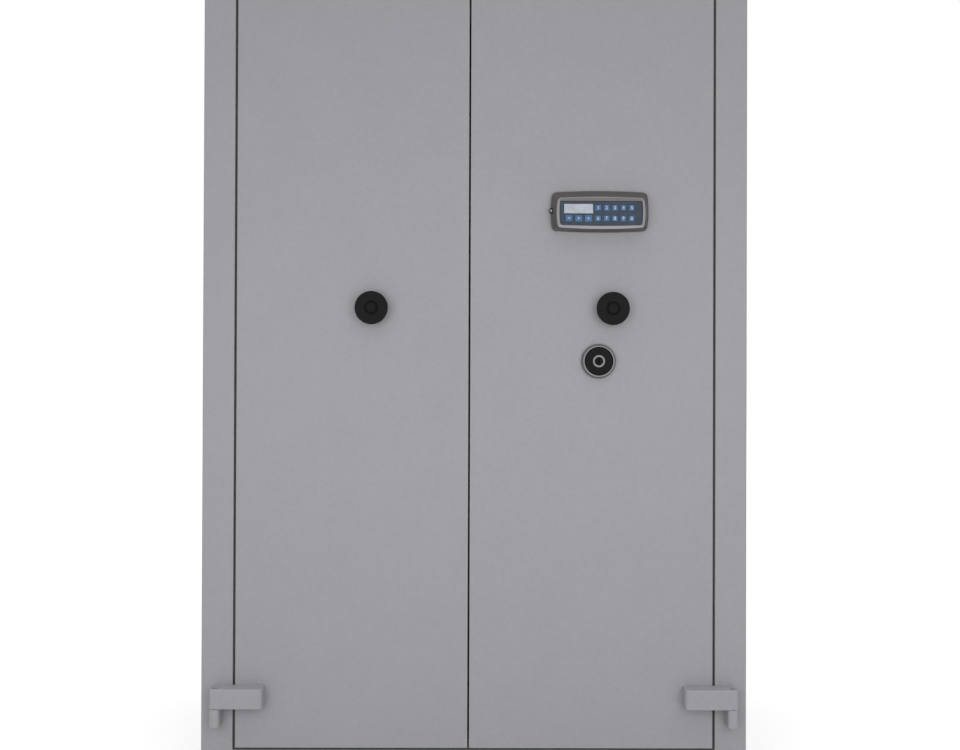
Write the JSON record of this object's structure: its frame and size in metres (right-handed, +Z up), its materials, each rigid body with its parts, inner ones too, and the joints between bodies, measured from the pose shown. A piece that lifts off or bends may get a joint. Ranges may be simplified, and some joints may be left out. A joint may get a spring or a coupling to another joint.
{
  "type": "security cabinet",
  "caption": "Steel security cabinet with flush double doors on outside hinges, turning knobs that throw bolts, a keypad lock, a key lock and shelves",
  "frame": {"origin": "middle of the cabinet's footprint, on the floor", "axes": "+Z up, +X to the right seen from the front, +Y from the doors to the back"},
  "size_m": [0.95, 0.528, 1.8],
  "materials": {
    "body_paint": "light grey powder coat, fine orange peel, semi-matt",
    "interior_paint": "pale grey powder coat, matt",
    "steel": "bright zinc plated",
    "chrome": "polished chrome plate",
    "black_plastic": "satin black moulded plastic",
    "keypad_shell": "satin pewter die casting with a bright rim",
    "keypad_foil": "dark printed panel",
    "key_blue": "steel-blue moulded key",
    "display": "pale grey display window"
  },
  "bodies": {
    "carcass": {"left_side_panel": "body_paint", "right_side_panel": "body_paint", "top_panel": "body_paint", "floor_panel": "body_paint", "back_panel": "body_paint", "left_front_upright": "interior_paint", "left_rear_upright": "interior_paint", "right_front_upright": "interior_paint", "right_rear_upright": "interior_paint", "lower_shelf": "interior_paint", "middle_shelf": "interior_paint", "upper_shelf": "interior_paint", "left_lower_hinge_knuckle": "body_paint", "left_upper_hinge_knuckle": "body_paint", "right_lower_hinge_knuckle": "body_paint", "right_upper_hinge_knuckle": "body_paint", "left_lower_hinge_pin": "steel", "left_upper_hinge_pin": "steel", "right_lower_hinge_pin": "steel", "right_upper_hinge_pin": "steel"},
    "left_door": {"left_leaf": "body_paint", "left_inner_cover": "interior_paint", "left_lower_hinge_arm": "body_paint", "left_upper_hinge_arm": "body_paint"},
    "right_door": {"right_leaf": "body_paint", "right_inner_cover": "interior_paint", "right_lower_hinge_arm": "body_paint", "right_upper_hinge_arm": "body_paint", "key_lock_escutcheon": "chrome", "key_lock_rosette": "black_plastic", "key_lock_case": "steel", "electronic_lock_case": "steel", "keypad_housing": "keypad_shell", "keypad_panel": "keypad_foil", "keypad_display": "display"},
    "left_handle": {"left_knob": "black_plastic", "left_pinion_shaft": "steel"},
    "right_handle": {"right_knob": "black_plastic", "right_pinion_shaft": "steel"},
    "left_top_bolt": {"left_top_rod": "steel"},
    "left_bottom_bolt": {"left_bottom_rod": "steel"},
    "right_top_bolt": {"right_top_rod": "steel"},
    "right_bottom_bolt": {"right_bottom_rod": "steel"},
    "right_side_bolts": {"right_bolt_bar": "steel"},
    "key_plug": {"key_lock_plug": "black_plastic"},
    "key_bolt": {"key_lock_bolt": "steel"},
    "electronic_bolt": {"electronic_lock_bolt": "steel"},
    "function_key_a_cap": {"function_key_a": "key_blue"},
    "function_key_b_cap": {"function_key_b": "key_blue"},
    "function_key_c_cap": {"function_key_c": "key_blue"},
    "number_key_0_cap": {"number_key_0": "key_blue"},
    "number_key_1_cap": {"number_key_1": "key_blue"},
    "number_key_2_cap": {"number_key_2": "key_blue"},
    "number_key_3_cap": {"number_key_3": "key_blue"},
    "number_key_4_cap": {"number_key_4": "key_blue"},
    "number_key_5_cap": {"number_key_5": "key_blue"},
    "number_key_6_cap": {"number_key_6": "key_blue"},
    "number_key_7_cap": {"number_key_7": "key_blue"},
    "number_key_8_cap": {"number_key_8": "key_blue"},
    "number_key_9_cap": {"number_key_9": "key_blue"}
  },
  "joints": [
    {"name": "left_door_hinge", "type": "hinge", "parent": "carcass", "child": "left_door", "pos_m": [-0.445, -0.269, 0.9], "axis": [0, 0, -1], "range_deg": [0, 180]},
    {"name": "right_door_hinge", "type": "hinge", "parent": "carcass", "child": "right_door", "pos_m": [0.445, -0.269, 0.9], "axis": [0, 0, 1], "range_deg": [0, 180]},
    {"name": "left_knob_turn", "type": "hinge", "parent": "left_door", "child": "left_handle", "pos_m": [-0.1795, -0.25, 0.8245], "axis": [0, 1, 0], "range_deg": [0, 90]},
    {"name": "right_knob_turn", "type": "hinge", "parent": "right_door", "child": "right_handle", "pos_m": [0.2382, -0.25, 0.8245], "axis": [0, 1, 0], "range_deg": [0, 90]},
    {"name": "left_top_bolt_slide", "type": "slide", "parent": "left_door", "child": "left_top_bolt", "axis": [0, 0, 1], "range_m": [0, 0.02199]},
    {"name": "left_bottom_bolt_slide", "type": "slide", "parent": "left_door", "child": "left_bottom_bolt", "axis": [0, 0, -1], "range_m": [0, 0.022]},
    {"name": "right_top_bolt_slide", "type": "slide", "parent": "right_door", "child": "right_top_bolt", "axis": [0, 0, 1], "range_m": [0, 0.022]},
    {"name": "right_bottom_bolt_slide", "type": "slide", "parent": "right_door", "child": "right_bottom_bolt", "axis": [0, 0, -1], "range_m": [0, 0.022]},
    {"name": "right_side_bolts_slide", "type": "slide", "parent": "right_door", "child": "right_side_bolts", "axis": [-1, 0, 0], "range_m": [0, 0.02199]},
    {"name": "key_plug_turn", "type": "hinge", "parent": "right_door", "child": "key_plug", "pos_m": [0.215, -0.25, 0.7336], "axis": [0, 1, 0], "range_deg": [0, 90]},
    {"name": "key_bolt_slide", "type": "slide", "parent": "right_door", "child": "key_bolt", "axis": [0, 0, 1], "range_m": [0, 0.012]},
    {"name": "electronic_bolt_slide", "type": "slide", "parent": "right_door", "child": "electronic_bolt", "axis": [0, 0, -1], "range_m": [0, 0.01]},
    {"name": "function_key_a_press", "type": "slide", "parent": "right_door", "child": "function_key_a_cap", "axis": [0, 1, 0], "range_m": [0, 0.0008], "stiffness_N_per_m": 400},
    {"name": "function_key_b_press", "type": "slide", "parent": "right_door", "child": "function_key_b_cap", "axis": [0, 1, 0], "range_m": [0, 0.0008], "stiffness_N_per_m": 400},
    {"name": "function_key_c_press", "type": "slide", "parent": "right_door", "child": "function_key_c_cap", "axis": [0, 1, 0], "range_m": [0, 0.0008], "stiffness_N_per_m": 400},
    {"name": "number_key_0_press", "type": "slide", "parent": "right_door", "child": "number_key_0_cap", "axis": [0, 1, 0], "range_m": [0, 0.0008], "stiffness_N_per_m": 400},
    {"name": "number_key_1_press", "type": "slide", "parent": "right_door", "child": "number_key_1_cap", "axis": [0, 1, 0], "range_m": [0, 0.0008], "stiffness_N_per_m": 400},
    {"name": "number_key_2_press", "type": "slide", "parent": "right_door", "child": "number_key_2_cap", "axis": [0, 1, 0], "range_m": [0, 0.0008], "stiffness_N_per_m": 400},
    {"name": "number_key_3_press", "type": "slide", "parent": "right_door", "child": "number_key_3_cap", "axis": [0, 1, 0], "range_m": [0, 0.0008], "stiffness_N_per_m": 400},
    {"name": "number_key_4_press", "type": "slide", "parent": "right_door", "child": "number_key_4_cap", "axis": [0, 1, 0], "range_m": [0, 0.0008], "stiffness_N_per_m": 400},
    {"name": "number_key_5_press", "type": "slide", "parent": "right_door", "child": "number_key_5_cap", "axis": [0, 1, 0], "range_m": [0, 0.0008], "stiffness_N_per_m": 400},
    {"name": "number_key_6_press", "type": "slide", "parent": "right_door", "child": "number_key_6_cap", "axis": [0, 1, 0], "range_m": [0, 0.0008], "stiffness_N_per_m": 400},
    {"name": "number_key_7_press", "type": "slide", "parent": "right_door", "child": "number_key_7_cap", "axis": [0, 1, 0], "range_m": [0, 0.0008], "stiffness_N_per_m": 400},
    {"name": "number_key_8_press", "type": "slide", "parent": "right_door", "child": "number_key_8_cap", "axis": [0, 1, 0], "range_m": [0, 0.0008], "stiffness_N_per_m": 400},
    {"name": "number_key_9_press", "type": "slide", "parent": "right_door", "child": "number_key_9_cap", "axis": [0, 1, 0], "range_m": [0, 0.0008], "stiffness_N_per_m": 400}
  ],
  "couplings": [
    {"joint": "left_bottom_bolt_slide", "follows": "left_top_bolt_slide", "ratio": 1},
    {"joint": "left_knob_turn", "follows": "left_top_bolt_slide", "rad_per_m": 71.429},
    {"joint": "right_top_bolt_slide", "follows": "right_side_bolts_slide", "ratio": 1},
    {"joint": "right_bottom_bolt_slide", "follows": "right_side_bolts_slide", "ratio": 1},
    {"joint": "right_knob_turn", "follows": "right_side_bolts_slide", "rad_per_m": 71.429},
    {"joint": "key_plug_turn", "follows": "key_bolt_slide", "rad_per_m": 130.89}
  ]
}
